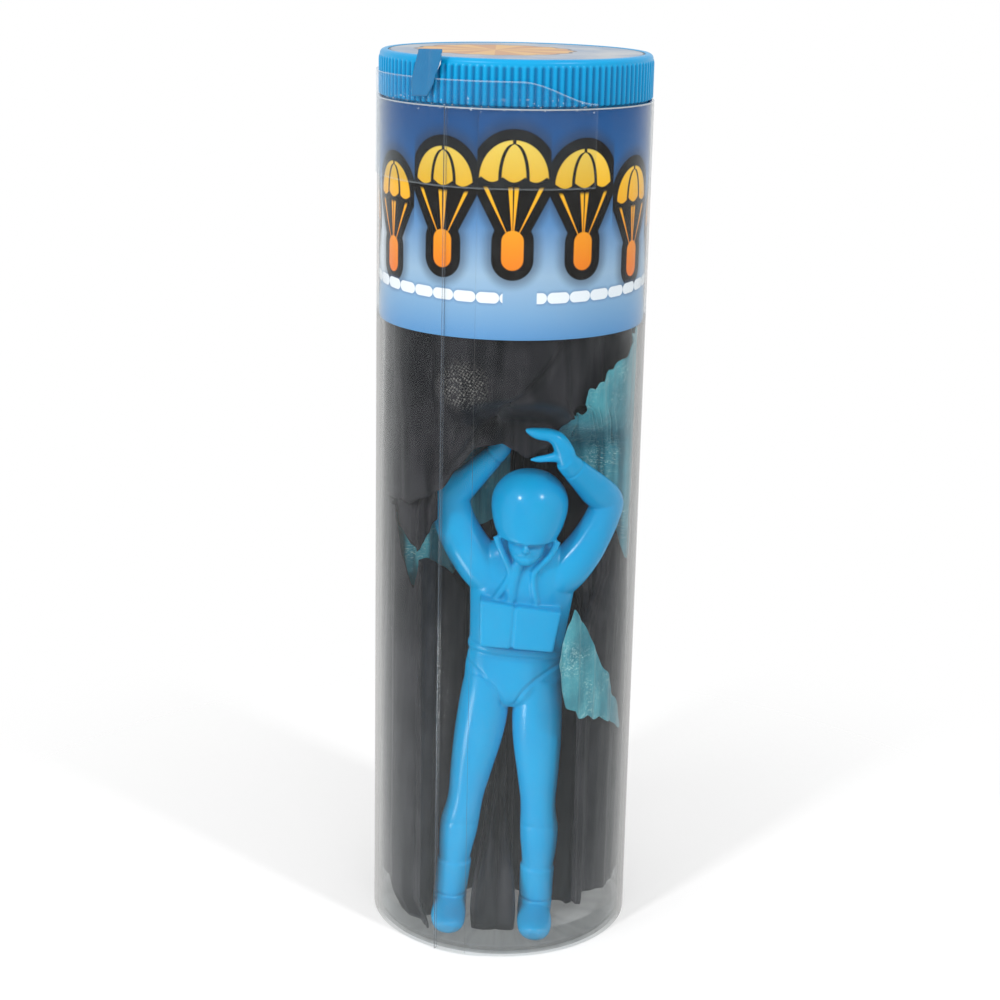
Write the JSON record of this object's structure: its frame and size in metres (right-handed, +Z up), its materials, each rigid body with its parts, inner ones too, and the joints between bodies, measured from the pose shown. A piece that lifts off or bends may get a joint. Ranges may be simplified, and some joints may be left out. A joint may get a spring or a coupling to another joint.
{
  "type": "toy parachute",
  "caption": "Moulded skydiver figure with a folded cloth canopy, packed in a clear plastic tube with a printed band, a ribbed plug cap and a seal.",
  "frame": {"origin": "on the tube's axis, at the height of the base's flat ring", "axes": "+Z up along the tube's axis, -Y towards the figure's front, +X to the viewer's right"},
  "size_m": [0.0522, 0.0522, 0.1753],
  "materials": {
    "clear_tube": "clear rolled sheet, light scuffs",
    "printed_paper": "printed, semi-gloss",
    "cap_plastic": "moulded, satin",
    "disc_paper": "printed, semi-gloss",
    "clear_tape": "clear film",
    "tab_plastic": "tinted film",
    "figure_plastic": "moulded, glossy",
    "strap_webbing": "woven tape",
    "black_cloth": "thin satin",
    "teal_cloth": "thin satin"
  },
  "bodies": {
    "tube": {"tube_wall": "clear_tube", "tube_base": "clear_tube", "label_insert": "printed_paper", "seal_tape": "clear_tape", "seal_tab": "tab_plastic"},
    "toy": {"skydiver": "figure_plastic", "harness_strap": "strap_webbing", "canopy_core": "black_cloth", "black_panel_lower_left": "black_cloth", "teal_panel_left": "teal_cloth", "black_panel_middle_left": "black_cloth", "black_panel_upper": "black_cloth", "teal_panel_upper_right": "teal_cloth", "black_panel_right": "black_cloth", "teal_panel_lower_right": "teal_cloth"},
    "cap": {"cap": "cap_plastic", "cap_disc": "disc_paper"}
  },
  "joints": [
    {"name": "toy_lift", "type": "slide", "parent": "tube", "child": "toy", "axis": [0, 0, 1], "range_m": [0, 0.17]},
    {"name": "cap_lift", "type": "slide", "parent": "toy", "child": "cap", "axis": [0, 0, 1], "range_m": [0, 0.04]}
  ]
}
